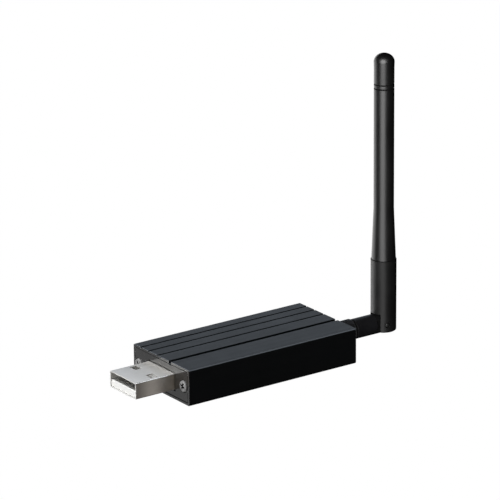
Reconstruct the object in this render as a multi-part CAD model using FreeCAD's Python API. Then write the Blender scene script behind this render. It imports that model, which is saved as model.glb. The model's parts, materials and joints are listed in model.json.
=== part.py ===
import FreeCAD, Part
import os
import math
from FreeCAD import Vector as V

os.makedirs("parts", exist_ok=True)

# USB radio stick: a black anodised aluminium case with a USB plug on its front
# end and a tilting, turning stub antenna on its rear end.
# Millimetres. Origin: centre of the flat bottom face. +X from plug to antenna,
# +Y to the far side, +Z up.

# ---------------------------------------------------------------- dimensions
CASE_L = 53.6            # case length along X
CASE_W = 25.5            # case width along Y
CASE_H = 9.85           # case height
WALL_SIDE = 1.4
WALL_BOTTOM = 1.2
WALL_TOP = 1.6
CASE_EDGE = 0.30         # broken outer edges of the extrusion
RIM = 0.70               # end rim of the extrusion around each end plate
PLATE_T = 1.60           # end plate thickness, also the depth of its seat
PLATE_GAP = 0.07         # gap all round an end plate

BAND_W = 8.70            # plain flat band beside the near edge, to the deep groove
DEEP_GROOVE_W = 1.10
DEEP_GROOVE_D = 1.00
FINE_GROOVE_W = 0.50
FINE_GROOVE_D = 0.32
FINE_GROOVES = (14.30, 18.42, 21.98)   # measured from the near edge

SCREW_INSET = 2.52       # screw centre from the side face
SCREW_Z = 4.85
SCREW_HEAD_D = 3.05
SCREW_HEAD_H = 0.95
SCREW_SHANK_D = 1.66
SCREW_PORT_D = 1.70      # screw channel along the extrusion
SCREW_LEN = 6.0
COUNTERBORE_D = 3.36
COUNTERBORE_T = 0.55

BOARD_T = 1.0
BOARD_Z = 1.50           # underside of the board, on the case's ribs
BOARD_W = 22.4
BOARD_X0 = -24.7
BOARD_X1 = 24.0

PLUG_W = 12.0            # plug shell, the standard outer section
PLUG_H = 4.5
PLUG_T = 0.30            # sheet thickness
PLUG_OUT = 11.9          # exposed length
PLUG_LEN = 18.3          # whole length of the shell
PLUG_Z = 4.75            # middle of the plug above the bottom face
PLUG_R = 0.36            # outer bend radius of the folded shell
WINDOW_L = 2.0
WINDOW_W = 2.5
WINDOW_X = 6.5           # window centre from the plug's front edge
WINDOW_Y = 3.65
TONGUE_H = 1.84

RF_Z = 4.12              # axis of the antenna connector
JACK_THREAD_D = 4.83     # 10-36 thread of the small screw-on connector
JACK_OUT = 6.0           # barrel length beyond the case
NUT_AF = 6.35
RING_D = 5.96
RING_X0 = 3.0            # coupling ring, from the case's rear end
RING_X1 = 7.85
KNUCKLE_D = 5.48
KNUCKLE_X0 = 8.22

SLEEVE_D = 6.98          # lower sleeve of the antenna
SLEEVE_AXIS = 18.72      # antenna axis behind the case's rear end
SLEEVE_Z0 = 2.00
SLEEVE_Z1 = 22.10
HINGE_INSET = 1.05       # hinge pin, from the antenna axis towards the case
SLOT_W = 4.45
SLOT_R = 3.00            # slot wall to the hinge axis
TONGUE_W = 4.25
PIN_D = 0.90
WHIP_D = 5.48
WHIP_BASE_D = 6.62
CONE_Z1 = 36.60
WHIP_DOME_Z = 76.85      # foot of the rounded tip
WHIP_DOME_H = 2.32
WHIP_DOME_R = 2.81       # the tip stands a little proud of the whip
TIP_FLAT_R = 0.17
WHIP_RINGS = (69.70, 70.85)

XF = -CASE_L / 2.0       # front end of the case
XR = CASE_L / 2.0        # rear end of the case
YN = -CASE_W / 2.0       # near side
YS = CASE_W / 2.0 - SCREW_INSET
XA = XR + SLEEVE_AXIS    # antenna axis
XH = XA - HINGE_INSET    # hinge axis
BOARD_TOP = BOARD_Z + BOARD_T


# ------------------------------------------------------------------- helpers
def box(x0, x1, y0, y1, z0, z1):
    return Part.makeBox(x1 - x0, y1 - y0, z1 - z0, V(x0, y0, z0))


def cyl_x(x0, x1, d, y=0.0, z=0.0):
    return Part.makeCylinder(d / 2.0, x1 - x0, V(x0, y, z), V(1, 0, 0))


def cyl_y(y0, y1, d, x, z):
    return Part.makeCylinder(d / 2.0, y1 - y0, V(x, y0, z), V(0, 1, 0))


def cyl_z(z0, z1, d, x, y):
    return Part.makeCylinder(d / 2.0, z1 - z0, V(x, y, z0), V(0, 0, 1))


def fuse(shapes):
    s = shapes[0]
    if len(shapes) > 1:
        s = s.multiFuse(shapes[1:])
    return s.removeSplitter()


def cut(a, tools):
    for t in tools:
        a = a.cut(t)
    return a.removeSplitter()


def along_x(shape, length):
    """Edges of that length that lie along X."""
    out = []
    for e in shape.Edges:
        if abs(e.Length - length) < 1e-6 and abs(e.tangentAt(e.FirstParameter).x) > 0.999:
            out.append(e)
    return out


def rounded_bar(x0, x1, w, h, r, z):
    """Bar along X with rounded long edges, centred on Y = 0 and on z."""
    b = box(x0, x1, -w / 2.0, w / 2.0, z - h / 2.0, z + h / 2.0)
    return b.makeFillet(r, along_x(b, x1 - x0))


def prism(points, z0, z1):
    """Straight prism along Z over a closed outline."""
    w = Part.makePolygon([V(x, y, z0) for x, y in points] + [V(points[0][0], points[0][1], z0)])
    return Part.Face(w).extrude(V(0, 0, z1 - z0))


def turned_x(profile, z):
    """Solid of revolution about the X line at height z; profile of (x, r)."""
    pts = [V(x, 0, z + r) for x, r in profile]
    w = Part.makePolygon(pts + [pts[0]])
    return Part.Face(w).revolve(V(0, 0, z), V(1, 0, 0), 360)


def turned_z(profile, x):
    """Solid of revolution about the Z line at x; profile of (z, r)."""
    pts = [V(x + r, 0, z) for z, r in profile]
    w = Part.makePolygon(pts + [pts[0]])
    return Part.Face(w).revolve(V(x, 0, 0), V(0, 0, 1), 360)


def group(solids):
    return Part.makeCompound(solids)


def mirror_x(shape):
    """The same piece at the other end of the case."""
    return shape.mirror(V(0, 0, 0), V(1, 0, 0))


nodes = {}

# ---------------------------------------------------------------------- case
# One aluminium extrusion: a flat tube with a deep and three fine grooves in its
# top, a screw channel in each side, ribs for the board, and a seat cut into
# each end for the end plate.
case = box(XF, XR, YN, -YN, 0, CASE_H)
case = case.makeChamfer(CASE_EDGE, along_x(case, CASE_L))
inner = box(XF - 1, XR + 1, YN + WALL_SIDE, -YN - WALL_SIDE, WALL_BOTTOM, CASE_H - WALL_TOP)
inner = inner.makeFillet(0.4, along_x(inner, CASE_L + 2))
case = case.cut(inner)
adds = []
cuts = []
yi = -YN - WALL_SIDE
for s in (-1, 1):
    boss = cyl_x(XF, XR, 3.5, s * YS, SCREW_Z)
    web_y = sorted((s * YS, s * (yi + 0.2)))
    web = box(XF, XR, web_y[0], web_y[1], SCREW_Z - 1.75, SCREW_Z + 1.75)
    rib_y = sorted((s * (yi - 0.8), s * (yi + 0.2)))
    low = box(XF, XR, rib_y[0], rib_y[1], WALL_BOTTOM - 0.2, BOARD_Z - 0.02)
    high = box(XF, XR, rib_y[0], rib_y[1], BOARD_TOP + 0.08, SCREW_Z)
    adds += [boss, web, low, high]
    cuts.append(cyl_x(XF - 1, XR + 1, SCREW_PORT_D, s * YS, SCREW_Z))
    slit_y = sorted((s * YS, s * (YS - 2.2)))
    cuts.append(box(XF - 1, XR + 1, slit_y[0], slit_y[1], SCREW_Z - 0.4, SCREW_Z + 0.4))
case = fuse([case] + adds)
case = cut(case, cuts)
gy = YN + BAND_W
cuts = [box(XF - 1, XR + 1, gy - DEEP_GROOVE_W / 2, gy + DEEP_GROOVE_W / 2, CASE_H - DEEP_GROOVE_D, CASE_H + 1)]
for g in FINE_GROOVES:
    y = YN + g
    cuts.append(box(XF - 1, XR + 1, y - FINE_GROOVE_W / 2, y + FINE_GROOVE_W / 2, CASE_H - FINE_GROOVE_D, CASE_H + 1))
for a, b in ((XF - 1, XF + PLATE_T), (XR - PLATE_T, XR + 1)):
    seat = box(a, b, YN + RIM, -YN - RIM, RIM, CASE_H - RIM)
    seat = seat.makeFillet(0.3, along_x(seat, b - a))
    cuts.append(seat)
case = cut(case, cuts)
nodes["housing"] = case


# ---------------------------------------------------------------- end plates
def end_plate():
    """Plate for the front end; its outer face looks towards -X."""
    g = RIM + PLATE_GAP
    p = box(XF + 0.04, XF + PLATE_T, YN + g, -YN - g, g, CASE_H - g)
    p = p.makeFillet(0.3, along_x(p, PLATE_T - 0.04))
    front = [e for e in p.Edges if abs(e.BoundBox.XMin - (XF + 0.04)) < 1e-6 and e.BoundBox.XLength < 1e-6]
    p = p.makeChamfer(0.06, front)
    cuts = [box(XF - 1, XF + 3, gy - DEEP_GROOVE_W / 2, gy + DEEP_GROOVE_W / 2, CASE_H - DEEP_GROOVE_D, CASE_H + 1)]
    for s in (-1, 1):
        cuts.append(cyl_x(XF - 1, XF + 3, 2.0, s * YS, SCREW_Z))
        cuts.append(cyl_x(XF - 1, XF + 0.04 + COUNTERBORE_T, COUNTERBORE_D, s * YS, SCREW_Z))
    return cut(p, cuts)


plug_hole = rounded_bar(XF - 1, XF + 3, PLUG_W + 0.20, PLUG_H + 0.60, 0.4, PLUG_Z + 0.12)
reliefs = [cyl_x(XF - 1, XF + 3, 0.64, s * (PLUG_W / 2 + 0.18), PLUG_Z - PLUG_H / 2) for s in (-1, 1)]
nodes["front_plate"] = cut(end_plate(), [plug_hole] + reliefs)
rear = mirror_x(end_plate())
nodes["rear_plate"] = cut(rear, [cyl_x(XR - 4, XR + 2, JACK_THREAD_D + 0.12, 0, RF_Z)])


# -------------------------------------------------------------------- screws
def screw(y):
    """Cross-recessed pan-head screw in the front end, along +X."""
    x0 = XF + 0.04 + COUNTERBORE_T - SCREW_HEAD_H
    head = cyl_x(x0, x0 + SCREW_HEAD_H, SCREW_HEAD_D, y, SCREW_Z)
    rim = [e for e in head.Edges if abs(e.BoundBox.XMin - x0) < 1e-6 and e.BoundBox.XLength < 1e-6]
    head = head.makeFillet(0.38, rim)
    shank = cyl_x(x0 + SCREW_HEAD_H - 0.1, x0 + SCREW_HEAD_H + SCREW_LEN, SCREW_SHANK_D, y, SCREW_Z)
    tip = [e for e in shank.Edges if abs(e.BoundBox.XMax - (x0 + SCREW_HEAD_H + SCREW_LEN)) < 1e-6 and e.BoundBox.XLength < 1e-6]
    shank = shank.makeChamfer(0.3, tip)
    s = fuse([head, shank])

    # cross recess: two crossed slots that narrow with depth
    def slot(dy, dz):
        lo, hi = 1.0, 0.35
        f = Part.makePolygon([V(x0 - 0.01, y - dy * lo - dz * 0.24, SCREW_Z - dz * lo - dy * 0.24),
                              V(x0 - 0.01, y + dy * lo - dz * 0.24, SCREW_Z + dz * lo - dy * 0.24),
                              V(x0 - 0.01, y + dy * lo + dz * 0.24, SCREW_Z + dz * lo + dy * 0.24),
                              V(x0 - 0.01, y - dy * lo + dz * 0.24, SCREW_Z - dz * lo + dy * 0.24),
                              V(x0 - 0.01, y - dy * lo - dz * 0.24, SCREW_Z - dz * lo - dy * 0.24)])
        b = Part.makePolygon([V(x0 + 0.6, y - dy * hi - dz * 0.15, SCREW_Z - dz * hi - dy * 0.15),
                              V(x0 + 0.6, y + dy * hi - dz * 0.15, SCREW_Z + dz * hi - dy * 0.15),
                              V(x0 + 0.6, y + dy * hi + dz * 0.15, SCREW_Z + dz * hi + dy * 0.15),
                              V(x0 + 0.6, y - dy * hi + dz * 0.15, SCREW_Z - dz * hi + dy * 0.15),
                              V(x0 + 0.6, y - dy * hi - dz * 0.15, SCREW_Z - dz * hi - dy * 0.15)])
        return Part.makeLoft([f, b], True, True)
    return cut(s, [slot(1, 0), slot(0, 1)])


def turned_about_x(shape, y, z, deg):
    s = shape.copy()
    s.rotate(V(0, y, z), V(1, 0, 0), deg)
    return s


sa = turned_about_x(screw(-YS), -YS, SCREW_Z, 22)
sb = turned_about_x(screw(YS), YS, SCREW_Z, 63)
nodes["front_screws"] = group([sa, sb])
sc = mirror_x(turned_about_x(screw(-YS), -YS, SCREW_Z, 40))
sd = mirror_x(turned_about_x(screw(YS), YS, SCREW_Z, 8))
nodes["rear_screws"] = group([sc, sd])

# ------------------------------------------------------------------ USB plug
PX0 = XF - PLUG_OUT
PX1 = PX0 + PLUG_LEN
pz0 = PLUG_Z - PLUG_H / 2
pz1 = PLUG_Z + PLUG_H / 2
shell = rounded_bar(PX0, PX1, PLUG_W, PLUG_H, PLUG_R, PLUG_Z)
hollow = rounded_bar(PX0 - 1, PX1 + 1, PLUG_W - 2 * PLUG_T, PLUG_H - 2 * PLUG_T, PLUG_R - PLUG_T, PLUG_Z)
cuts = [hollow]
for s in (-1, 1):
    wy = s * WINDOW_Y
    cuts.append(box(PX0 + WINDOW_X - WINDOW_L / 2, PX0 + WINDOW_X + WINDOW_L / 2, wy - WINDOW_W / 2, wy + WINDOW_W / 2, pz0 - 1, pz1 + 1))
# closing seam of the folded sheet, along the underside
cuts.append(box(PX0 - 1, PX1 + 1, -0.04, 0.04, pz0 - 1, pz0 + 1))
shell = cut(shell, cuts)
# two solder tabs through the board
tabs = []
for s in (-1, 1):
    ty = sorted((s * (PLUG_W / 2 - PLUG_T), s * (PLUG_W / 2)))
    tabs.append(box(PX0 + 15.3, PX0 + 16.7, ty[0], ty[1], BOARD_Z - 0.2, pz0 + 1.0))
nodes["plug_shell"] = fuse([shell] + tabs)

ins_w = PLUG_W - 2 * PLUG_T - 0.06
iz0 = pz0 + PLUG_T + 0.02
tongue = box(PX0 + 0.25, PX0 + 11.0, -ins_w / 2, ins_w / 2, iz0, iz0 + TONGUE_H)
block = box(PX0 + 9.2, PX1 - 0.4, -ins_w / 2, ins_w / 2, iz0, pz1 - PLUG_T - 0.02)
contact_y = (-3.5, -1.0, 1.0, 3.5)
contact_x0 = (1.2, 2.1, 2.1, 1.2)
slots = []
contacts = []
for y, cx in zip(contact_y, contact_x0):
    slots.append(box(PX0 + cx - 0.15, PX1 + 1, y - 0.56, y + 0.56, iz0 + TONGUE_H - 0.22, iz0 + TONGUE_H + 0.10))
    strip = box(PX0 + cx, PX1 + 0.5, y - 0.5, y + 0.5, iz0 + TONGUE_H - 0.20, iz0 + TONGUE_H + 0.06)
    leg = box(PX1 + 0.24, PX1 + 0.5, y - 0.3, y + 0.3, BOARD_TOP + 0.02, iz0 + TONGUE_H)
    foot = box(PX1 + 0.24, PX1 + 1.4, y - 0.3, y + 0.3, BOARD_TOP + 0.02, BOARD_TOP + 0.26)
    contacts.append(fuse([strip, leg, foot]))
envelope = rounded_bar(PX0, PX1, ins_w, PLUG_H - 2 * PLUG_T - 0.04, 0.2, PLUG_Z)
ins = fuse([tongue, block])
front_top = [e for e in ins.Edges if abs(e.BoundBox.XMin - (PX0 + 0.25)) < 1e-6 and e.BoundBox.XLength < 1e-6 and e.BoundBox.ZLength < 1e-6 and e.BoundBox.ZMin > iz0 + 1]
ins = ins.makeChamfer(0.2, front_top).common(envelope).removeSplitter()
nodes["plug_insulator"] = cut(ins, slots)
nodes["plug_contacts"] = group(contacts)

# --------------------------------------------------------------- electronics
board = box(BOARD_X0, BOARD_X1, -BOARD_W / 2, BOARD_W / 2, BOARD_Z, BOARD_TOP)
holes = []
for s in (-1, 1):
    holes.append(box(PX0 + 15.2, PX0 + 16.8, s * (PLUG_W / 2 - PLUG_T / 2) - 0.25, s * (PLUG_W / 2 - PLUG_T / 2) + 0.25, BOARD_Z - 1, BOARD_TOP + 1))
nodes["circuit_board"] = cut(board, holes)

bt = BOARD_TOP
can = box(2.0, 19.0, -6.5, 6.5, bt, bt + 2.4)
can = can.makeFillet(0.35, [e for e in can.Edges if e.BoundBox.ZMin > bt + 2.39 or e.BoundBox.ZLength > 2.3])
can_in = box(2.25, 18.75, -6.25, 6.25, bt - 1, bt + 2.15)
nodes["radio_shield"] = cut(can, [can_in])
nodes["radio_chip"] = box(6.5, 13.5, -3.5, 3.5, bt + 0.02, bt + 0.92)
xtal_r = box(3.2, 5.7, -1.6, 1.6, bt + 0.02, bt + 0.72)
nodes["radio_crystal"] = xtal_r
nodes["bridge_chip"] = box(-14.0, -9.0, -2.5, 2.5, bt + 0.02, bt + 0.92)
nodes["bridge_crystal"] = box(-7.2, -4.0, 3.2, 5.7, bt + 0.02, bt + 0.82)
nodes["regulator"] = fuse([box(-15.2, -12.2, 5.0, 6.6, bt + 0.1, bt + 1.2)] +
                          [box(-15.05 + i * 0.95, -14.65 + i * 0.95, 4.3, 7.3, bt + 0.02, bt + 0.25) for i in range(3)])
nodes["status_light"] = box(-17.6, -16.0, -7.4, -6.6, bt + 0.02, bt + 0.62)
small = []
for x, y in ((-17.5, 3.4), (-17.5, 5.6), (-10.2, 7.4), (-7.4, -4.6), (-4.9, -4.6), (-12.5, -5.0), (-2.2, 0.9), (-2.2, -1.5), (21.0, 1.7), (21.0, -1.9)):
    small.append(box(x, x + 1.6, y, y + 0.8, bt + 0.02, bt + 0.62))
nodes["capacitors"] = group(small)

# ---------------------------------------------------- antenna connector, case
# Small screw-on coaxial jack: its flange bears on the inside of the rear plate,
# and a washer and a nut hold it from outside.
xi = XR - PLATE_T
jack = turned_x([(xi - 1.0, 1.5), (xi - 1.0, 2.85), (xi, 2.85), (xi, JACK_THREAD_D / 2),
                 (XR + JACK_OUT - 0.25, JACK_THREAD_D / 2), (XR + JACK_OUT, JACK_THREAD_D / 2 - 0.25),
                 (XR + JACK_OUT, 1.86), (XR + 3.5, 1.86), (XR + 3.5, 1.5)], RF_Z)
nodes["connector_body"] = jack
jack_ins = turned_x([(xi - 1.0, 0.46), (xi - 1.0, 1.48), (XR + 3.5, 1.48), (XR + 3.5, 0.46)], RF_Z)
nodes["connector_insulator"] = jack_ins
pin_leg = cyl_z(bt + 0.02, RF_Z, 0.9, xi - 1.9, 0)
bend = Part.makeSphere(0.45, V(xi - 1.9, 0, RF_Z))
contact = fuse([cyl_x(xi - 1.9, XR + 3.5, 0.9, 0, RF_Z), bend, pin_leg])
nodes["connector_contact"] = cut(contact, [cyl_x(XR + 1.5, XR + 5, 0.56, 0, RF_Z)])
nodes["lock_washer"] = turned_x([(XR - 0.03, 2.46), (XR - 0.03, 3.3), (XR + 0.47, 3.3), (XR + 0.47, 2.46)], RF_Z)
hexpts = []
for i in range(6):
    a = math.radians(30 + 60 * i)
    hexpts.append(V(XR + 0.48, NUT_AF / 2 / math.cos(math.radians(30)) * math.cos(a), RF_Z + NUT_AF / 2 / math.cos(math.radians(30)) * math.sin(a)))
hexa = Part.Face(Part.makePolygon(hexpts + [hexpts[0]])).extrude(V(1.7, 0, 0))
crown = turned_x([(XR + 0.48, 0), (XR + 0.48, 3.35), (XR + 0.78, 3.72), (XR + 1.88, 3.72), (XR + 2.18, 3.35), (XR + 2.18, 0)], RF_Z)
nodes["panel_nut"] = cut(hexa.common(crown), [cyl_x(XR, XR + 4, JACK_THREAD_D + 0.02, 0, RF_Z)])

# ------------------------------------------------- antenna connector, antenna
# Coupling ring that turns on the antenna's ferrule and screws on the jack.
ring = turned_x([(XR + RING_X0, JACK_THREAD_D / 2 + 0.05), (XR + RING_X0, RING_D / 2 - 0.2), (XR + RING_X0 + 0.2, RING_D / 2),
                 (XR + RING_X1 - 0.2, RING_D / 2), (XR + RING_X1, RING_D / 2 - 0.2), (XR + RING_X1, 1.85),
                 (XR + 7.05, 1.85), (XR + 7.05, JACK_THREAD_D / 2 + 0.05)], RF_Z)
nodes["coupling_ring"] = ring
# Ferrule: metal sleeve with a flange that the ring pulls up to the jack.
ferrule = turned_x([(XR + 3.6, 1.5), (XR + 3.6, 1.78), (XR + 6.1, 1.78), (XR + 6.1, 2.3), (XR + 6.95, 2.3), (XR + 6.95, 1.78),
                    (XR + 10.6, 1.78), (XR + 10.6, 1.5)], RF_Z)
nodes["antenna_ferrule"] = ferrule
nodes["ferrule_insulator"] = turned_x([(XR + 3.6, 0.26), (XR + 3.6, 1.48), (XR + 9.6, 1.48), (XR + 9.6, 0.26)], RF_Z)
nodes["ferrule_contact"] = cyl_x(XR + 1.9, XR + 10.2, 0.5, 0, RF_Z)

# Knuckle: one moulded cylinder that ends in a flat tongue for the hinge.
kx0 = XR + KNUCKLE_X0
tongue_x = XH - 2.9
kn = cyl_x(kx0, XH, KNUCKLE_D, 0, RF_Z)
near_ring = [e for e in kn.Edges if abs(e.BoundBox.XMin - kx0) < 1e-6 and e.BoundBox.XLength < 1e-6]
kn = kn.makeChamfer(0.18, near_ring)
end_round = cyl_y(-KNUCKLE_D / 2, KNUCKLE_D / 2, KNUCKLE_D, XH, RF_Z)
tip = cyl_x(XH - 0.5, XH + KNUCKLE_D / 2, KNUCKLE_D, 0, RF_Z).common(end_round)
kn = fuse([kn, tip])
cuts = []
for s in (-1, 1):
    fy = sorted((s * TONGUE_W / 2, s * 4.0))
    cuts.append(box(tongue_x, XH + 4, fy[0], fy[1], RF_Z - 4, RF_Z + 4))
cuts.append(cyl_x(kx0 - 1, XR + 10.62, 3.58, 0, RF_Z))
cuts.append(cyl_x(kx0, XR + 13.8, 1.5, 0, RF_Z))
cuts.append(cyl_y(-4, 4, PIN_D + 0.10, XH, RF_Z))
nodes["knuckle"] = cut(kn, cuts)
nodes["knuckle_coax"] = cyl_x(XR + 10.7, XR + 13.75, 1.3, 0, RF_Z)

# -------------------------------------------------------------------- antenna
# Lower sleeve: a tube end with a slot for the knuckle's tongue, open towards
# the case and at the bottom, closed at the back.
sl = cyl_z(SLEEVE_Z0, SLEEVE_Z1, SLEEVE_D, XA, 0)
low_edge = [e for e in sl.Edges if abs(e.BoundBox.ZMin - SLEEVE_Z0) < 1e-6 and e.BoundBox.ZLength < 1e-6]
sl = sl.makeFillet(0.32, low_edge)
slot = box(XA - 6, XH + SLOT_R, -SLOT_W / 2, SLOT_W / 2, SLEEVE_Z0 - 2, RF_Z + SLOT_R)
cuts = [slot,
        cyl_z(16.0, SLEEVE_Z1 + 1, 5.04, XA, 0),
        cyl_z(RF_Z + SLOT_R - 0.5, 16.5, 1.6, XA, 0),
        cyl_y(-5, 5, PIN_D + 0.01, XH, RF_Z),
        cyl_y(-5, -SLEEVE_D / 2 + 0.50, 1.44, XH, RF_Z),
        cyl_y(SLEEVE_D / 2 - 0.50, 5, 1.44, XH, RF_Z)]
nodes["antenna_sleeve"] = cut(sl, cuts)

pin = cyl_y(-3.18, 3.18, PIN_D, XH, RF_Z)
nodes["hinge_pin"] = pin.makeChamfer(0.1, [e for e in pin.Edges if e.BoundBox.YLength < 1e-6])

# Whip cover: a moulded tube, a cone at its foot and a round tip, with a spigot
# in the sleeve and two fine rings near the tip.
r = WHIP_D / 2.0
dz = WHIP_DOME_Z


def at(z, rad):
    return V(XA + rad, 0, z)


edges = []
spig = 5.0 / 2


def line(a, b):
    edges.append(Part.LineSegment(a, b).toShape())


outline = [(16.2, 1.5), (16.2, spig), (SLEEVE_Z1 + 0.05, spig), (SLEEVE_Z1 + 0.05, WHIP_BASE_D / 2 - 0.12),
           (SLEEVE_Z1 + 0.17, WHIP_BASE_D / 2), (CONE_Z1, r)]
for z in WHIP_RINGS:
    outline += [(z - 0.16, r), (z - 0.08, r - 0.12), (z + 0.08, r - 0.12), (z + 0.16, r)]
outline += [(dz - 0.34, r), (dz - 0.26, WHIP_DOME_R), (dz, WHIP_DOME_R)]
for (z0, r0), (z1, r1) in zip(outline[:-1], outline[1:]):
    line(at(z0, r0), at(z1, r1))
# The round tip ends in a flat spot, the mark of the moulding gate.
t_end = math.acos(TIP_FLAT_R / WHIP_DOME_R)
tip_top = dz + WHIP_DOME_H * math.sin(t_end)
dome = Part.Ellipse(at(dz, WHIP_DOME_R), at(dz + WHIP_DOME_H, 0), at(dz, 0))
edges.append(Part.ArcOfEllipse(dome, 0, t_end).toShape())
line(at(tip_top, TIP_FLAT_R), at(tip_top, 0))
line(at(tip_top, 0), at(dz - 1.0, 0))
line(at(dz - 1.0, 0), at(dz - 1.0, 1.5))
line(at(dz - 1.0, 1.5), at(16.2, 1.5))
whip = Part.Face(Part.Wire(edges)).revolve(V(XA, 0, 0), V(0, 0, 1), 360)
nodes["whip_cover"] = whip

# Inside the whip: the coaxial feed, a brass tube as the lower half of the
# dipole, and the wire above it.
nodes["feed_coax"] = cyl_z(RF_Z + SLOT_R + 0.3, 46.5, 1.3, XA, 0)
nodes["dipole_tube"] = cyl_z(17.5, 45.5, 2.8, XA, 0).cut(cyl_z(16.5, 46.5, 2.2, XA, 0))
nodes["dipole_wire"] = cyl_z(46.5, 74.8, 0.8, XA, 0)

# --------------------------------------------------------------------- export
for name in sorted(nodes):
    s = nodes[name]
    solids = s.Solids
    ok = s.isValid() and len(solids) > 0 and all(k.Volume > 0 for k in solids)
    b = s.BoundBox
    print("%-20s solids %2d valid %s volume %9.2f  x %7.2f %7.2f  y %7.2f %7.2f  z %6.2f %6.2f" % (
        name, len(solids), ok, sum(k.Volume for k in solids), b.XMin, b.XMax, b.YMin, b.YMax, b.ZMin, b.ZMax))
    if len(solids) == 1:
        s = solids[0]
    s.exportStep("parts/%s.step" % name)
print("nodes", len(nodes))
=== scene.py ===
import bpy
import bmesh
import json
import math
from mathutils import Vector, Matrix

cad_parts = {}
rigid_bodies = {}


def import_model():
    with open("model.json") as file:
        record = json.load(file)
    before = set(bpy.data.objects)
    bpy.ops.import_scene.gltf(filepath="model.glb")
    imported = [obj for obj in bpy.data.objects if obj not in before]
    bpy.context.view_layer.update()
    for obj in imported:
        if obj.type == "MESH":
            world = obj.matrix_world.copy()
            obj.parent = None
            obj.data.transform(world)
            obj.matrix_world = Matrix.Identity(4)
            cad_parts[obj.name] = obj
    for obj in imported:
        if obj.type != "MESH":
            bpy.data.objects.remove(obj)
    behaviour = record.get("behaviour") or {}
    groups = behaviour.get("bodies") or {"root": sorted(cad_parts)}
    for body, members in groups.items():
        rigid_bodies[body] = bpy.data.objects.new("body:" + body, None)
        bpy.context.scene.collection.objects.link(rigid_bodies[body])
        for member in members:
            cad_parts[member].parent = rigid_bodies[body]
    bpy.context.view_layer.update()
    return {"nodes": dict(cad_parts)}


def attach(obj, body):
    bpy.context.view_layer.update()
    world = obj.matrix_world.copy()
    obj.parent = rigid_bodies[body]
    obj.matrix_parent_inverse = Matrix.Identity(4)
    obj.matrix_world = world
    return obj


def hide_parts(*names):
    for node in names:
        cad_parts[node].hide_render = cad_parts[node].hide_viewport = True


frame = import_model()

N = frame["nodes"]
MM = 0.001

# ------------------------------------------------------------------ materials


def new_mat(name):
    m = bpy.data.materials.new(name)
    m.use_nodes = True
    nt = m.node_tree
    nt.nodes.clear()
    out = nt.nodes.new("ShaderNodeOutputMaterial")
    bsdf = nt.nodes.new("ShaderNodeBsdfPrincipled")
    nt.links.new(bsdf.outputs["BSDF"], out.inputs["Surface"])
    return m, nt, bsdf


def coords(nt, scale=(1, 1, 1), rot=(0, 0, 0)):
    tc = nt.nodes.new("ShaderNodeTexCoord")
    mp = nt.nodes.new("ShaderNodeMapping")
    mp.inputs["Scale"].default_value = scale
    mp.inputs["Rotation"].default_value = rot
    nt.links.new(tc.outputs["Object"], mp.inputs["Vector"])
    return mp.outputs["Vector"]


def noise(nt, vec, scale, detail=3.0, rough=0.55):
    n = nt.nodes.new("ShaderNodeTexNoise")
    n.inputs["Scale"].default_value = scale
    n.inputs["Detail"].default_value = detail
    n.inputs["Roughness"].default_value = rough
    nt.links.new(vec, n.inputs["Vector"])
    return n.outputs["Fac"]


def ramp(nt, fac, lo, hi, c0, c1):
    r = nt.nodes.new("ShaderNodeValToRGB")
    r.color_ramp.elements[0].position = lo
    r.color_ramp.elements[1].position = hi
    r.color_ramp.elements[0].color = (*c0, 1)
    r.color_ramp.elements[1].color = (*c1, 1)
    nt.links.new(fac, r.inputs["Fac"])
    return r.outputs["Color"]


def rng(nt, fac, a, b, lo=0.3, hi=0.7):
    m = nt.nodes.new("ShaderNodeMapRange")
    m.inputs["From Min"].default_value = lo
    m.inputs["From Max"].default_value = hi
    m.inputs["To Min"].default_value = a
    m.inputs["To Max"].default_value = b
    nt.links.new(fac, m.inputs["Value"])
    return m.outputs["Result"]


def math_node(nt, op, a, b):
    m = nt.nodes.new("ShaderNodeMath")
    m.operation = op
    for i, v in enumerate((a, b)):
        if isinstance(v, (int, float)):
            m.inputs[i].default_value = v
        else:
            nt.links.new(v, m.inputs[i])
    return m.outputs[0]


def bump(nt, bsdf, height, strength, dist_mm, prev=None):
    b = nt.nodes.new("ShaderNodeBump")
    b.inputs["Strength"].default_value = strength
    b.inputs["Distance"].default_value = dist_mm * MM
    nt.links.new(height, b.inputs["Height"])
    if prev is not None:
        nt.links.new(prev, b.inputs["Normal"])
    nt.links.new(b.outputs["Normal"], bsdf.inputs["Normal"])
    return b.outputs["Normal"]


def plain(name, c0, c1, rough, spread=0.06, metallic=0.0, spec=0.5, grain=3000, grain_mm=0.01, grain_strength=0.3,
          cloud=120, stretch=(1, 1, 1), coat=0.0, ior=1.5):
    """A surface with cloudy tone, uneven gloss and a fine grain."""
    m, nt, b = new_mat(name)
    b.inputs["Metallic"].default_value = metallic
    b.inputs["Specular IOR Level"].default_value = spec
    b.inputs["Coat Weight"].default_value = coat
    b.inputs["IOR"].default_value = ior
    v = coords(nt, stretch)
    cl = noise(nt, v, cloud, 4)
    gr = noise(nt, v, grain, 2, 0.6)
    mixed = math_node(nt, "ADD", math_node(nt, "MULTIPLY", cl, 0.6), math_node(nt, "MULTIPLY", gr, 0.4))
    nt.links.new(ramp(nt, mixed, 0.35, 0.65, c0, c1), b.inputs["Base Color"])
    nt.links.new(rng(nt, mixed, rough - spread, rough + spread, 0.35, 0.65), b.inputs["Roughness"])
    bump(nt, b, gr, grain_strength, grain_mm)
    return m


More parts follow.
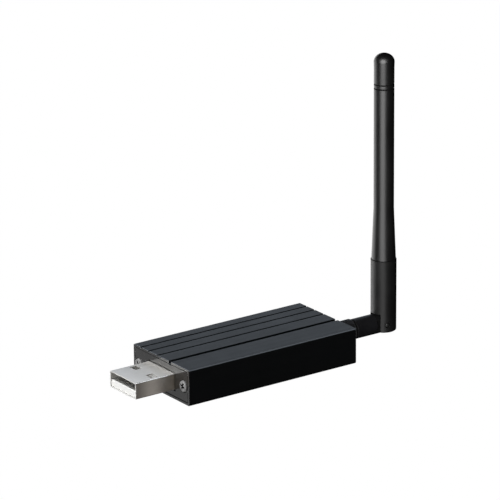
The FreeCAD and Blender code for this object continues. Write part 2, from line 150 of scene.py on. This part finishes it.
def nickel(name, stops):
    """Brushed nickel with painted reflection and shade in its base colour: the colour runs through the stops along the
    plug and darkens towards the plug's far side. stops are (share of the way from the mouth to the case, colour).
    """
    m, nt, b = new_mat(name)
    b.inputs["Metallic"].default_value = 0.12
    b.inputs["IOR"].default_value = 1.5
    v = coords(nt, (160, 1100, 1100))
    cl = noise(nt, v, 1.0, 4)
    gr = noise(nt, v, 1.0, 2, 0.6)
    soft = noise(nt, coords(nt, (1, 1, 1)), 260, 2, 0.5)
    mixed = math_node(nt, "ADD", math_node(nt, "MULTIPLY", cl, 0.55),
                      math_node(nt, "ADD", math_node(nt, "MULTIPLY", gr, 0.25), math_node(nt, "MULTIPLY", soft, 0.20)))
    tone = ramp(nt, mixed, 0.35, 0.65, (0.94, 0.94, 0.94), (1.06, 1.06, 1.06))
    tc = nt.nodes.new("ShaderNodeTexCoord")
    sep = nt.nodes.new("ShaderNodeSeparateXYZ")
    nt.links.new(tc.outputs["Object"], sep.inputs["Vector"])
    # Painted reflection and shade: the base colour follows the stops from the mouth to the case.
    along = rng(nt, sep.outputs["X"], 0.0, 1.0, -0.0387, -0.0268)
    r = nt.nodes.new("ShaderNodeValToRGB")
    r.color_ramp.interpolation = "EASE"
    while len(r.color_ramp.elements) < len(stops):
        r.color_ramp.elements.new(0.5)
    for el, (at, c) in zip(r.color_ramp.elements, stops):
        el.position = at
    for el, (at, c) in zip(r.color_ramp.elements, stops):
        el.color = (*c, 1)
    nt.links.new(along, r.inputs["Fac"])
    # Painted shade: the base colour darkens towards the plug's far side (+Y).
    across = rng(nt, sep.outputs["Y"], 1.02, 0.86, -0.006, 0.006)
    r2 = nt.nodes.new("ShaderNodeVectorMath")
    r2.operation = "SCALE"
    nt.links.new(r.outputs["Color"], r2.inputs[0])
    nt.links.new(across, r2.inputs["Scale"])
    k = nt.nodes.new("ShaderNodeVectorMath")
    k.operation = "MULTIPLY"
    nt.links.new(r2.outputs[0], k.inputs[0])
    nt.links.new(tone, k.inputs[1])
    nt.links.new(k.outputs[0], b.inputs["Base Color"])
    nt.links.new(rng(nt, mixed, 0.28, 0.38, 0.35, 0.65), b.inputs["Roughness"])
    bump(nt, b, gr, 0.12, 0.004)
    return m


# Black anodised extrusion: bead-blasted, with faint drawing lines along X.
def anodised(name, spec, ior, rough):
    m, nt, b = new_mat(name)
    b.inputs["Specular IOR Level"].default_value = spec
    b.inputs["IOR"].default_value = ior
    long = coords(nt, (30, 2400, 2400))
    streak = noise(nt, long, 1.0, 3, 0.6)
    v = coords(nt)
    sand = noise(nt, v, 5200, 2, 0.5)
    cloud = noise(nt, v, 90, 4, 0.6)
    mix = math_node(nt, "ADD", math_node(nt, "MULTIPLY", streak, 0.35),
                    math_node(nt, "ADD", math_node(nt, "MULTIPLY", sand, 0.3), math_node(nt, "MULTIPLY", cloud, 0.35)))
    nt.links.new(ramp(nt, mix, 0.36, 0.64, (0.0022, 0.0026, 0.0031), (0.0038, 0.0043, 0.0050)), b.inputs["Base Color"])
    nt.links.new(rng(nt, mix, rough - 0.05, rough + 0.05, 0.36, 0.64), b.inputs["Roughness"])
    h = math_node(nt, "ADD", sand, math_node(nt, "MULTIPLY", streak, 0.35))
    bump(nt, b, h, 0.30, 0.012)
    return m


M = {}
M["anodised"] = anodised("anodised_black", 0.25, 1.5, 0.45)
# Lighter, more reflective copy of the anodise for the extrusion's end faces: painted light on the rim.
M["anodised_cut"] = plain("anodised_end_face_painted_light", (0.008, 0.008, 0.0085), (0.012, 0.012, 0.0125), 0.20, 0.02, ior=6.0, grain=3000, grain_mm=0.001, grain_strength=0.2)
# Darker copy of the end-face finish: painted shade low on the near rim.
M["cut_low"] = plain("anodised_end_face_painted_shade", (0.006, 0.006, 0.0062), (0.010, 0.010, 0.0102), 0.24, 0.02, ior=2.5, grain=3000, grain_mm=0.001, grain_strength=0.2)
M["anodised_edge"] = plain("anodised_edge", (0.004, 0.004, 0.0045), (0.006, 0.006, 0.0065), 0.30, 0.03, ior=1.75, grain=3000, grain_mm=0.001, grain_strength=0.2)
M["plate"] = plain("plate_black", (0.008, 0.008, 0.0082), (0.014, 0.014, 0.0142), 0.18, 0.03, spec=0.5, ior=4.4, grain=3600, grain_mm=0.002, grain_strength=0.2)
M["screw"] = plain("screw_steel", (0.23, 0.23, 0.23), (0.28, 0.28, 0.28), 0.50, 0.04, metallic=0.0, grain=5000, grain_mm=0.004)
# Plug nickel: base colour with painted reflection and shade along and across the plug.
M["nickel"] = nickel("satin_nickel", [(0.0, (0.66, 0.65, 0.63)), (0.45, (0.56, 0.55, 0.53)), (0.75, (0.62, 0.61, 0.585)), (1.0, (0.76, 0.745, 0.71))])
# Near side of the plug: a darker copy of the nickel, painted shade, darkest at the mouth and darker again by the case.
M["nickel_side"] = nickel("satin_nickel_side_painted_shade", [(0.0, (0.18, 0.168, 0.155)), (0.45, (0.55, 0.52, 0.49)), (0.68, (0.49, 0.46, 0.43)), (1.0, (0.40, 0.363, 0.316))])
M["insulator"] = plain("white_plastic", (0.84, 0.84, 0.82), (0.90, 0.90, 0.885), 0.36, 0.04, grain=2500, grain_mm=0.006)
M["gold"] = plain("gold_plate", (0.78, 0.55, 0.20), (0.88, 0.66, 0.28), 0.25, 0.06, metallic=1.0, grain=3000, grain_mm=0.004)
# Grey copy of the white insulator for the tongue's top: painted shade inside the plug mouth.
M["insulator_shade"] = plain("tongue_top_painted_shade", (0.37, 0.37, 0.36), (0.46, 0.46, 0.45), 0.45, 0.04, grain=2500, grain_mm=0.004)
# Contacts in a dull grey, darkened as painted shade inside the plug mouth.
M["contact"] = plain("contact_pale", (0.38, 0.365, 0.33), (0.48, 0.465, 0.42), 0.40, 0.05, metallic=0.3, grain=3000, grain_mm=0.003)
M["cut_edge"] = plain("cut_edge", (0.74, 0.735, 0.72), (0.84, 0.835, 0.82), 0.35, 0.05, metallic=0.10, grain=3000, grain_mm=0.003)
# Near-white strip on the plug's long top folds: a painted highlight.
M["fold_painted_highlight"] = plain("fold_painted_highlight", (0.84, 0.835, 0.82), (0.92, 0.915, 0.90), 0.28, 0.04, metallic=0.50, grain=3000, grain_mm=0.003)
# Near-white copy for the inside of the plug shell: painted light seen through its openings.
M["inner_wall_painted_light"] = plain("inner_wall_painted_light", (0.88, 0.875, 0.86), (0.95, 0.945, 0.93), 0.40, 0.04, grain=3000, grain_mm=0.003)
M["board"] = plain("board_mask", (0.010, 0.060, 0.028), (0.018, 0.085, 0.042), 0.35, 0.05, grain=1500, grain_mm=0.01)
M["can"] = plain("tinned_sheet", (0.55, 0.55, 0.54), (0.70, 0.70, 0.69), 0.30, 0.07, metallic=1.0, grain=2000, grain_mm=0.006)
M["chip"] = plain("chip_black", (0.012, 0.012, 0.013), (0.024, 0.024, 0.025), 0.55, 0.06, grain=4000, grain_mm=0.01)
M["ceramic"] = plain("ceramic_tan", (0.26, 0.18, 0.11), (0.38, 0.28, 0.18), 0.5, 0.08, grain=2500, grain_mm=0.008)
M["lens"] = plain("clear_lens", (0.75, 0.75, 0.66), (0.86, 0.86, 0.78), 0.2, 0.05, grain=1200, grain_mm=0.004)
M["ptfe"] = plain("white_ptfe", (0.82, 0.82, 0.80), (0.90, 0.90, 0.88), 0.42, 0.05, grain=2200, grain_mm=0.006)
M["nut"] = plain("nut_nickel", (0.42, 0.41, 0.39), (0.60, 0.59, 0.56), 0.30, 0.08, metallic=1.0, grain=2600, grain_mm=0.008)
M["ring"] = plain("ring_black", (0.005, 0.005, 0.0055), (0.010, 0.010, 0.011), 0.36, 0.06, spec=0.45, grain=4200, grain_mm=0.01)
M["knuckle"] = plain("knuckle_black", (0.0035, 0.0035, 0.004), (0.0065, 0.0065, 0.0072), 0.44, 0.05, spec=0.14, grain=3600, grain_mm=0.012)
M["sleeve"] = plain("sleeve_matte", (0.0022, 0.0022, 0.0022), (0.0042, 0.0042, 0.0042), 0.46, 0.05, spec=0.20, grain=3600, grain_mm=0.018, grain_strength=0.45)
M["whip"] = plain("whip_satin", (0.0015, 0.0015, 0.0015), (0.0030, 0.0030, 0.0030), 0.36, 0.03, spec=0.5, grain=4200, grain_mm=0.006, grain_strength=0.25)
M["pin"] = plain("pin_dark_steel", (0.006, 0.006, 0.006), (0.012, 0.012, 0.012), 0.55, 0.08, metallic=0.0, grain=4000, grain_mm=0.008)
M["coax"] = plain("coax_jacket", (0.02, 0.02, 0.02), (0.035, 0.035, 0.035), 0.35, 0.05, grain=2500, grain_mm=0.006)
# Near-black for hollows, gaps and undersides: painted shade.
M["recess"] = plain("painted_shade_dark", (0.0015, 0.0015, 0.0015), (0.003, 0.003, 0.003), 0.7, 0.05, spec=0.1, grain=3000, grain_mm=0.004)
# Mid-dark for the screw crosses: painted shade.
M["painted_shade_soft"] = plain("painted_shade_soft", (0.022, 0.022, 0.022), (0.032, 0.032, 0.032), 0.6, 0.05, spec=0.3, grain=3000, grain_mm=0.004)
M["brass"] = plain("drawn_brass", (0.66, 0.44, 0.18), (0.80, 0.56, 0.26), 0.3, 0.08, metallic=1.0, grain=2200, grain_mm=0.006)

USE = {
    "housing": "anodised", "front_plate": "plate", "rear_plate": "plate", "front_screws": "screw", "rear_screws": "screw",
    "plug_shell": "nickel", "plug_insulator": "insulator", "plug_contacts": "contact", "circuit_board": "board",
    "radio_shield": "can", "radio_chip": "chip", "radio_crystal": "can", "bridge_chip": "chip", "bridge_crystal": "can",
    "regulator": "chip", "status_light": "lens", "capacitors": "ceramic", "connector_body": "gold",
    "connector_insulator": "ptfe", "connector_contact": "gold", "lock_washer": "nut", "panel_nut": "nut",
    "coupling_ring": "ring", "knuckle": "knuckle", "antenna_ferrule": "gold", "ferrule_insulator": "ptfe",
    "ferrule_contact": "gold", "knuckle_coax": "coax", "antenna_sleeve": "sleeve", "hinge_pin": "pin",
    "whip_cover": "whip", "feed_coax": "coax", "dipole_tube": "brass", "dipole_wire": "brass",
}
for node, key in USE.items():
    o = N[node]
    for s in o.material_slots:
        s.material = M[key]
    if not o.material_slots:
        o.data.materials.append(M[key])


# --------------------------------------------------------------------- pieces
# Sizes in millimetres, in the frame of the CAD part.
XR = 26.8                # rear end of the case
RF_Z = 4.12              # axis of the antenna connector
XA = XR + 18.72          # antenna axis
THREAD_R = 4.83 / 2


def arc_corner(p0, p1, p2, r, n=4):
    """Points that round the corner p1 of a profile."""
    a = Vector((p0[0] - p1[0], p0[1] - p1[1]))
    b = Vector((p2[0] - p1[0], p2[1] - p1[1]))
    la, lb = a.length, b.length
    if r <= 0 or la < 1e-9 or lb < 1e-9:
        return [tuple(p1)]
    a, b = a / la, b / lb
    ang = a.angle(b)
    if ang > math.radians(176):
        return [tuple(p1)]
    t = min(r / math.tan(ang / 2), 0.48 * la, 0.48 * lb)
    r = t * math.tan(ang / 2)
    c = Vector(p1) + (a + b).normalized() * (r / math.sin(ang / 2))
    s, e = Vector(p1) + a * t - c, Vector(p1) + b * t - c
    turn = s.angle_signed(e)
    out = []
    for i in range(n + 1):
        k = -turn * i / n
        out.append((c.x + s.x * math.cos(k) - s.y * math.sin(k), c.y + s.x * math.sin(k) + s.y * math.cos(k)))
    return out


def rounded_profile(points, n=4):
    """Closed profile of (along, radius, corner radius) with its corners rounded."""
    out = []
    m = len(points)
    for i in range(m):
        p0, p1, p2 = points[i - 1], points[i], points[(i + 1) % m]
        if p1[1] <= 1e-9:
            out.append((p1[0], 0.0))
        else:
            out += arc_corner(p0[:2], p1[:2], p2[:2], p1[2], n)
    return out


def lathe(name, profile, axis, seg=96, radial=None):
    """Mesh of revolution about the antenna axis ("z") or the connector axis ("x"). radial(along, r, angle) may change r."""
    bm = bmesh.new()
    loops = []
    for u, r in profile:
        ring = []
        if r <= 1e-9:
            ring = [bm.verts.new(place(u, 0, 0, axis))] * seg
        else:
            for k in range(seg):
                t = 2 * math.pi * k / seg
                rr = radial(u, r, t) if radial else r
                ring.append(bm.verts.new(place(u, rr, t, axis)))
        loops.append(ring)
    m = len(loops)
    for i in range(m):
        a, b = loops[i], loops[(i + 1) % m]
        for k in range(seg):
            k2 = (k + 1) % seg
            vs = []
            for v in (a[k], a[k2], b[k2], b[k]):
                if v not in vs:
                    vs.append(v)
            if len(vs) > 2:
                bm.faces.new(vs)
    bmesh.ops.recalc_face_normals(bm, faces=bm.faces)
    me = bpy.data.meshes.new(name)
    bm.to_mesh(me)
    bm.free()
    return me


def place(u, r, t, axis):
    if axis == "x":
        return (u * MM, r * math.cos(t) * MM, (RF_Z + r * math.sin(t)) * MM)
    return ((XA + r * math.cos(t)) * MM, r * math.sin(t) * MM, u * MM)


def add_piece(name, me, body, mat, nodes, sharp=32):
    o = bpy.data.objects.new(name, me)
    bpy.context.scene.collection.objects.link(o)
    me.materials.clear()
    me.materials.append(M[mat])
    if sharp:
        for p in me.polygons:
            p.use_smooth = True
        me.set_sharp_from_angle(angle=math.radians(sharp))
    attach(o, body)
    if nodes:
        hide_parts(*nodes)
    return o


def softened(node, name, body, mat, width, segments=2, limit=28, keep=None, splits=()):
    """The node's shape with its sharp edges rounded by width millimetres. splits are planes (axis, mm) that divide flat faces."""
    me = N[node].data.copy()
    me.name = name
    if "custom_normal" in me.attributes:
        me.attributes.remove(me.attributes["custom_normal"])
    bm = bmesh.new()
    bm.from_mesh(me)
    bmesh.ops.remove_doubles(bm, verts=bm.verts, dist=2e-7)
    for axis, at in splits:
        n = Vector([1.0 if i == axis else 0.0 for i in range(3)])
        cut = bmesh.ops.bisect_plane(bm, geom=bm.verts[:] + bm.edges[:] + bm.faces[:], dist=1e-7, plane_co=n * at * MM, plane_no=n)
        for e in cut["geom_cut"]:
            if isinstance(e, bmesh.types.BMEdge):
                e.seam = True
    bmesh.ops.dissolve_limit(bm, angle_limit=math.radians(0.4), verts=bm.verts, edges=bm.edges, delimit={"SEAM"})
    bmesh.ops.recalc_face_normals(bm, faces=bm.faces)
    lay = bm.edges.layers.float.new("bevel_weight_edge")
    for e in bm.edges:
        if len(e.link_faces) == 2 and e.calc_face_angle(0) > math.radians(limit):
            e[lay] = 1.0 if keep is None or keep(e) else 0.0
            e.smooth = False
        else:
            e.smooth = True
    for f in bm.faces:
        f.smooth = True
    bm.to_mesh(me)
    bm.free()
    tmp = bpy.data.objects.new(name + "_tmp", me)
    bpy.context.scene.collection.objects.link(tmp)
    mod = tmp.modifiers.new("soft", "BEVEL")
    mod.width = width * MM
    mod.segments = segments
    mod.limit_method = "WEIGHT"
    mod.harden_normals = True
    mod.use_clamp_overlap = False
    dg = bpy.context.evaluated_depsgraph_get()
    new = bpy.data.meshes.new_from_object(tmp.evaluated_get(dg))
    new.name = name
    bpy.data.objects.remove(tmp)
    return add_piece(name, new, body, mat, [node], sharp=0)


def second_finish(o, mat, chosen):
    """Gives the faces for which chosen(centre in mm, normal) is true one more material."""
    o.data.materials.append(M[mat])
    k = len(o.data.materials) - 1
    for p in o.data.polygons:
        if chosen(p.center / MM, p.normal):
            p.material_index = k


# Case, plates, plug and the small turned parts, with softened edges.
case_o = softened("housing", "case_extrusion", "case", "anodised", 0.07)
second_finish(case_o, "anodised_edge", lambda c, n: abs(n.x) < 0.3 and abs(n.y) > 0.30 and abs(n.z) > 0.30 and abs(c.y) > 12.3)
# The end faces get the lighter copy: painted light on the rim.
second_finish(case_o, "anodised_cut", lambda c, n: abs(c.x) > XR - 0.09 and abs(n.x) > 0.3)
# Painted shade on the front end: the near rim below its top gets the darker copy, and the bottom rim keeps the plain
# anodise.
second_finish(case_o, "cut_low", lambda c, n: c.x < 0.09 - XR and n.x < -0.3 and (c.y < -12.0 and c.z < 7.8))
second_finish(case_o, "anodised", lambda c, n: c.x < 0.09 - XR and n.x < -0.3 and c.z < 0.8 and c.y > -12.2)
SCREW_Y, SCREW_Z = 25.5 / 2 - 2.52, 4.85


def from_screw(c):
    return math.hypot(abs(c.y) - SCREW_Y, c.z - SCREW_Z)


PLATE_SPLITS = [(1, 0.0), (1, SCREW_Y), (1, -SCREW_Y), (1, 8.2), (1, -8.2), (2, 4.75)]


def at_opening(c):
    return abs(c.y) < 7.0 and 1.7 < c.z < 8.0


for end in ("front", "rear"):
    o = softened(end + "_plate", end + "_plate_skin", "case", "plate", 0.04, splits=PLATE_SPLITS,
                 keep=lambda e: not at_opening((e.verts[0].co + e.verts[1].co) / (2 * MM)))
    # Painted shade in the counterbores, the walls of the plug opening and the plate's near and lower edge faces.
    second_finish(o, "recess", lambda c, n: (abs(c.x) < XR - 0.12 and from_screw(c) < 1.75)
                  or (c.x < 0 and abs(n.x) < 0.3 and at_opening(c))
                  or (c.x < 0 and 0.15 < abs(n.x) < 0.985 and (c.y < -11.9 or c.z < 0.9)))
    o = softened(end + "_screws", end + "_screw_heads", "case", "screw", 0.02)
    # Painted shade in the screws' cross recesses.
    second_finish(o, "painted_shade_soft", lambda c, n: from_screw(c) < 1.06 and (abs(n.x) < 0.55 or abs(c.x) < XR + 0.25))
tongue_o = softened("plug_insulator", "plug_tongue", "case", "insulator", 0.04)
# Painted shade on the tongue's top under the shell.
second_finish(tongue_o, "insulator_shade", lambda c, n: n.z > 0.8 and c.x < -27.5 and c.z > 4.0)
plug_o = softened("plug_shell", "plug_shell_skin", "case", "nickel", 0.05)
# Painted shade on the plug's near side.
second_finish(plug_o, "nickel_side", lambda c, n: n.y < -0.93 and c.y < -5.9)
# Painted highlight on the plug's long top folds.
second_finish(plug_o, "fold_painted_highlight", lambda c, n: c.z > 6.5 and abs(c.y) > 5.6 and n.z > 0.35 and abs(n.y) > 0.35)
# Painted light on the inner face of the shell's far wall.
second_finish(plug_o, "inner_wall_painted_light", lambda c, n: n.y < -0.9 and 5.5 < c.y < 5.8)
second_finish(plug_o, "cut_edge", lambda c, n: c.x < -38.6 and n.x < -0.3 and c.z < 6.2)
softened("panel_nut", "hex_nut_skin", "case", "nut", 0.06)
sleeve_o = softened("antenna_sleeve", "sleeve_skin", "antenna", "sleeve", 0.05, splits=[(2, 3.1), (2, 5.2), (2, 6.0)])
# Painted shade in the recesses round the hinge pin.
second_finish(sleeve_o, "recess", lambda c, n: math.hypot(c.x - (XA - 1.05), c.z - RF_Z) < 0.80 and 2.4 < abs(c.y) < 3.42)
knuckle_o = softened("knuckle", "knuckle_skin", "knuckle", "knuckle", 0.06, splits=[(0, XR + 14.9)])
# Painted shade on the knuckle's face towards the ring and on its end under the sleeve.
second_finish(knuckle_o, "recess", lambda c, n: (c.x < XR + 8.42 and n.x < -0.3) or c.x > XR + 14.95)


# Coupling ring: a straight knurl between two plain lands.
def knurl(u, r, t):
    if r < 2.75 or u < XR + 3.45 or u > XR + 7.35:
        return r
    k = 0.5 + 0.5 * math.cos(64 * t)
    return r - 0.085 * (1 - k ** 0.6)


ring_profile = rounded_profile([
    (XR + 3.0, THREAD_R + 0.05, 0.05), (XR + 3.0, 2.98 - 0.2, 0.08), (XR + 3.2, 2.98, 0.08),
    (XR + 3.42, 2.98, 0.03), (XR + 3.47, 2.975, 0.03), (XR + 7.33, 2.975, 0.03), (XR + 7.38, 2.98, 0.03),
    (XR + 7.65, 2.98, 0.08), (XR + 7.85, 2.98 - 0.2, 0.08), (XR + 7.85, 1.85, 0.05),
    (XR + 7.05, 1.85, 0.0), (XR + 7.05, THREAD_R + 0.05, 0.0)], 3)
add_piece("knurled_ring", lathe("knurled_ring", ring_profile, "x", 512, knurl), "ring", "ring", ["coupling_ring"], 40)

# Connector barrel with its fine thread.
PITCH, THREAD_DEPTH = 0.706, 0.36


def thread(u, r, t):
    if r < THREAD_R - 0.02 or u < XR + 0.2 or u > XR + 5.9:
        return r
    ph = ((u - XR) / PITCH - t / (2 * math.pi)) % 1.0
    k = abs(2 * ph - 1)
    k = min(max((k - 0.12) / 0.76, 0.0), 1.0)
    return r - THREAD_DEPTH * k


barrel = [(XR - 2.6, 1.5), (XR - 2.6, 2.80), (XR - 2.55, 2.85), (XR - 1.65, 2.85), (XR - 1.6, 2.80), (XR - 1.6, THREAD_R)]
x = XR + 0.2
while x < XR + 5.75:
    barrel.append((x, THREAD_R))
    x += PITCH / 12
barrel += [(XR + 5.76, THREAD_R), (XR + 6.0, THREAD_R - 0.25), (XR + 6.0, 1.86), (XR + 3.5, 1.86), (XR + 3.5, 1.5)]
add_piece("threaded_barrel", lathe("threaded_barrel", barrel, "x", 72, thread), "case", "gold", ["connector_body"], 50)

# Washer with small inner teeth.
def teeth(u, r, t):
    return r + 0.16 * (0.5 + 0.5 * math.cos(12 * t)) if r < 2.7 else r


washer = rounded_profile([(XR - 0.02, 2.46, 0.03), (XR - 0.02, 3.3, 0.08), (XR + 0.46, 3.3, 0.08), (XR + 0.46, 2.46, 0.03)], 3)
add_piece("toothed_washer", lathe("toothed_washer", washer, "x", 144, teeth), "case", "nut", ["lock_washer"], 40)

# Whip cover: cone, straight whip, two fine rings and a rounded tip.
R = 2.74
outline = [(16.2, 1.5, 0), (16.2, 2.5, 0.05), (22.15, 2.5, 0), (22.15, 3.31 - 0.08, 0.03), (22.25, 3.31, 0.05), (36.6, R, 9.0)]
for z in (69.70, 70.85):
    outline += [(z - 0.19, R, 0.04), (z - 0.13, R - 0.20, 0.05), (z + 0.13, R - 0.20, 0.05), (z + 0.19, R, 0.04)]
outline += [(75.40, R, 6.0)]
prof = rounded_profile(outline + [(76.85, 2.79, 0), (75.85, 1.5, 0)], 5)[:-2]
for i in range(0, 25):
    t = math.acos(0.17 / 2.79) * i / 24
    prof.append((76.85 + 2.32 * math.sin(t), 2.79 * math.cos(t)))
prof += [(prof[-1][0], 0.0), (75.85, 0.0), (75.85, 1.5)]
whip_o = add_piece("whip_skin", lathe("whip_skin", prof, "z", 96), "antenna", "whip", ["whip_cover"], 40)
# Painted shade in the two ring grooves.
second_finish(whip_o, "recess", lambda c, n: 69.3 < c.z < 71.2 and 2.3 < math.hypot(c.x - XA, c.y) < R - 0.06)

# ---------------------------------------------------------------------- stage
AZ, EL, ROLL, FPX = -35.2418, 18.6578, -0.4957, 3839.07
CAM = Vector((-0.5456957, -0.7748157, 0.3536204))
a, e, ro = math.radians(AZ), math.radians(EL), math.radians(ROLL)
BACK = Vector((math.sin(a) * math.cos(e), -math.cos(a) * math.cos(e), math.sin(e)))
RIGHT0 = Vector((math.cos(a), math.sin(a), 0.0))
UP0 = BACK.cross(RIGHT0)
RIGHT = RIGHT0 * math.cos(ro) + UP0 * math.sin(ro)
UP = UP0 * math.cos(ro) - RIGHT0 * math.sin(ro)
cam = bpy.data.cameras.new("camera")
cam.sensor_width = 36.0
cam.lens = FPX / 500.0 * 36.0
cam.dof.use_dof = False
cam.clip_start, cam.clip_end = 0.05, 20.0
cam_o = bpy.data.objects.new("camera", cam)
bpy.context.scene.collection.objects.link(cam_o)
cam_o.matrix_world = Matrix.Translation(CAM) @ Matrix((RIGHT, UP, BACK)).transposed().to_4x4()
bpy.context.scene.camera = cam_o
bpy.context.scene.view_settings.view_transform = "Standard"
bpy.context.scene.view_settings.look = "None"

BH = Vector((BACK.x, BACK.y, 0)).normalized()


def direction(psi, elev):
    """Unit vector; psi in degrees round the vertical, 0 on the photograph's side, positive to its right."""
    p, el = math.radians(psi), math.radians(elev)
    v = (BH * math.cos(p) + RIGHT0 * math.sin(p)) * math.cos(el)
    return Vector((v.x, v.y, math.sin(el)))


# Soft studio surround: dim, with a few wide soft panels.
NEUTRAL, COOL, WARM = (1.0, 1.0, 1.0), (0.89, 1.0, 1.14), (1.06, 1.0, 0.93)
AMBIENT = 0.006
PANELS = [
    # psi, elev, inner deg, outer deg, radiance, colour
    (74, -18, 6, 22, 0.010, WARM),         # faint wall on the right
]
world = bpy.data.worlds.new("studio")
bpy.context.scene.world = world
world.use_nodes = True
wt = world.node_tree
wt.nodes.clear()
wout = wt.nodes.new("ShaderNodeOutputWorld")
wbg = wt.nodes.new("ShaderNodeBackground")
wt.links.new(wbg.outputs[0], wout.inputs["Surface"])
wtc = wt.nodes.new("ShaderNodeTexCoord")
total = None
for psi, elv, inner, outer, amp, tint in PANELS:
    d = wt.nodes.new("ShaderNodeVectorMath")
    d.operation = "DOT_PRODUCT"
    wt.links.new(wtc.outputs["Generated"], d.inputs[0])
    d.inputs[1].default_value = direction(psi, elv)
    r = wt.nodes.new("ShaderNodeMapRange")
    r.interpolation_type = "SMOOTHSTEP"
    r.inputs["From Min"].default_value = math.cos(math.radians(outer))
    r.inputs["From Max"].default_value = math.cos(math.radians(inner))
    r.inputs["To Min"].default_value = 0.0
    r.inputs["To Max"].default_value = amp
    wt.links.new(d.outputs["Value"], r.inputs["Value"])
    k = wt.nodes.new("ShaderNodeVectorMath")
    k.operation = "MULTIPLY_ADD"
    wt.links.new(r.outputs["Result"], k.inputs[0])
    k.inputs[1].default_value = tint
    if total is None:
        k.inputs[2].default_value = (AMBIENT, AMBIENT, AMBIENT)
    else:
        wt.links.new(total, k.inputs[2])
    total = k.outputs[0]
wt.links.new(total, wbg.inputs["Color"])
wbg.inputs["Strength"].default_value = 1.0


def panel(name, psi, elev, wide, high, radiance, tint, only, dist=0.9, aim=(0.01, 0, 0.02)):
    """Soft panel that many degrees wide and high; its light falls on these objects alone."""
    l = bpy.data.lights.new(name, "AREA")
    l.shape = "RECTANGLE"
    l.size = 2 * dist * math.tan(math.radians(wide / 2))
    l.size_y = 2 * dist * math.tan(math.radians(high / 2))
    l.energy = radiance * math.pi * l.size * l.size_y
    l.color = tint
    o = bpy.data.objects.new(name, l)
    bpy.context.scene.collection.objects.link(o)
    aim = Vector(aim)
    o.location = aim + direction(psi, elev) * dist
    o.rotation_mode = "QUATERNION"
    o.rotation_quaternion = (aim - o.location).to_track_quat("-Z", "Y")
    o.visible_camera = False
    col = bpy.data.collections.new(name + "_for")
    for t in only:
        col.objects.link(t)
    o.light_linking.receiver_collection = col
    return o


solids = [o for o in bpy.data.objects if o.type == "MESH"]
antenna_set = [o for o in solids if o.parent is not None and o.parent.name.split(":")[-1] in ("antenna", "knuckle", "ring")]
case_set = [o for o in solids if o not in antenna_set]
joint_set = [o for o in antenna_set if o.parent.name.split(":")[-1] in ("knuckle", "ring")]
TIP = (0.0455, 0, 0.045)
plate_set = [o for o in case_set if "_plate" in o.name]
front_set = [o for o in case_set if o is not case_o]
tongue_set = [o for o in case_set if o.name in ("plug_tongue", "plug_contacts")]
# Case and plug.
panel("key_light", -100, 60, 32, 32, 7.0, NEUTRAL, case_set)
panel("front_light", -62, 0, 26, 26, 11.5, NEUTRAL, front_set)
panel("side_light", 20, 0, 30, 30, 1.3, WARM, case_set)
panel("corner_light", -20, -18, 16, 16, 3.0, NEUTRAL, [case_o])
panel("behind_light", 180, 20, 60, 32, 0.80, COOL, case_set + joint_set)
panel("edge_light", 97, 50, 26, 26, 1.5, COOL, case_set)
panel("near_wall", 84, -18, 36, 40, 0.070, NEUTRAL, case_set)
panel("plate_wall", -107, -18, 46, 46, 0.125, NEUTRAL, plate_set + [case_o])
panel("window_light", -8, 38, 20, 20, 3.0, NEUTRAL, tongue_set)
panel("plug_wall", 73, -18, 36, 36, 0.92, WARM, [plug_o])
panel("fold_light", 95, 51, 14, 14, 4.0, NEUTRAL, [plug_o])
# Low light for the far side, the rear end and the top as other viewpoints see them.
panel("back_low", 170, -22, 60, 36, 0.40, NEUTRAL, case_set)
panel("rear_wall", 125, -4, 44, 34, 0.16, NEUTRAL, case_set)
panel("front_high", -12, 30, 50, 36, 0.60, COOL, [case_o])
panel("left_high", -104, 26, 46, 34, 0.55, COOL, [case_o])
panel("right_high", 82, 24, 46, 30, 0.22, COOL, [case_o])
# Antenna.
panel("left_wall", -136, -12, 76, 60, 2.1, NEUTRAL, antenna_set, aim=TIP)
panel("sleeve_wall", -104, -14, 40, 50, 2.9, NEUTRAL, [sleeve_o], aim=TIP)
panel("low_panel", -14, -24, 48, 44, 3.4, NEUTRAL, antenna_set, aim=TIP)
panel("upper_panel", -14, 24, 52, 52, 8.5, NEUTRAL, antenna_set, aim=TIP)

# Pale floor, a wide sheet just under the case, and a pale backdrop far behind it.
bm = bmesh.new()
bmesh.ops.create_grid(bm, x_segments=1, y_segments=1, size=1.7)
me = bpy.data.meshes.new("floor")
bm.to_mesh(me)
bm.free()
floor = bpy.data.objects.new("floor", me)
floor.location = (0, 0, -0.00002)
bpy.context.scene.collection.objects.link(floor)
fm, fnt, fb = new_mat("floor_white")
fb.inputs["Base Color"].default_value = (0.10, 0.10, 0.10, 1)
fb.inputs["Roughness"].default_value = 0.9
fb.inputs["Specular IOR Level"].default_value = 0.0
fb.inputs["Emission Color"].default_value = (1, 1, 1, 1)
fb.inputs["Emission Strength"].default_value = 1.0
me.materials.append(fm)
bm = bmesh.new()
bmesh.ops.create_uvsphere(bm, u_segments=48, v_segments=24, radius=2.5)
bmesh.ops.reverse_faces(bm, faces=bm.faces)
me = bpy.data.meshes.new("backdrop")
bm.to_mesh(me)
bm.free()
me.materials.append(fm)
backdrop = bpy.data.objects.new("backdrop", me)
bpy.context.scene.collection.objects.link(backdrop)
for o in (floor, backdrop):
    o.visible_glossy = False
    o.visible_diffuse = False
    o.visible_shadow = False
